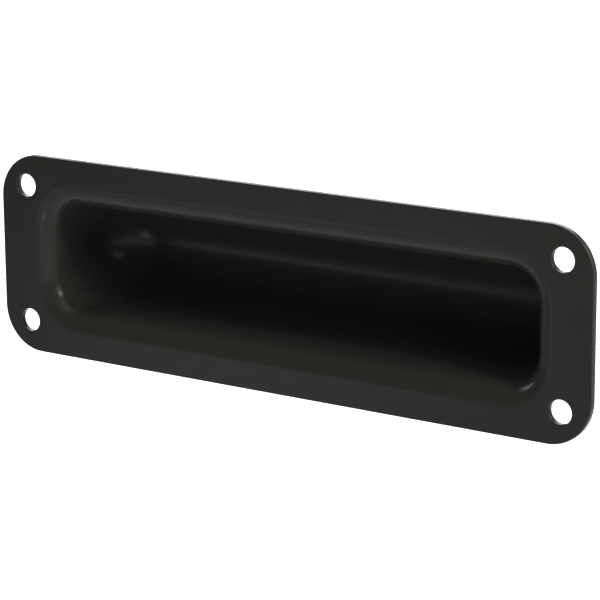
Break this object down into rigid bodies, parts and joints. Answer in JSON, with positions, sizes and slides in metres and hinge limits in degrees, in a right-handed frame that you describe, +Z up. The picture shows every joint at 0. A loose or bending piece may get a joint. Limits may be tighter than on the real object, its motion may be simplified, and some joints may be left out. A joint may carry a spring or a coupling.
{
  "type": "recessed pull handle",
  "caption": "Recessed pull handle pressed from one sheet: flat flange with screw holes at its corners and a deep finger recess with a rounded back, black coated.",
  "frame": {"origin": "centre of the flange's back face, which is also the centre of the screw holes and lies on the panel's front face", "axes": "+X along the handle, +Y into the panel, along the depth of the recess, +Z up; the flange faces -Y"},
  "size_m": [0.15, 0.026, 0.045],
  "materials": {
    "black_coat": "black powder coat, semi-gloss"
  },
  "bodies": {
    "root": {"handle_dish": "black_coat"}
  },
  "joints": []
}
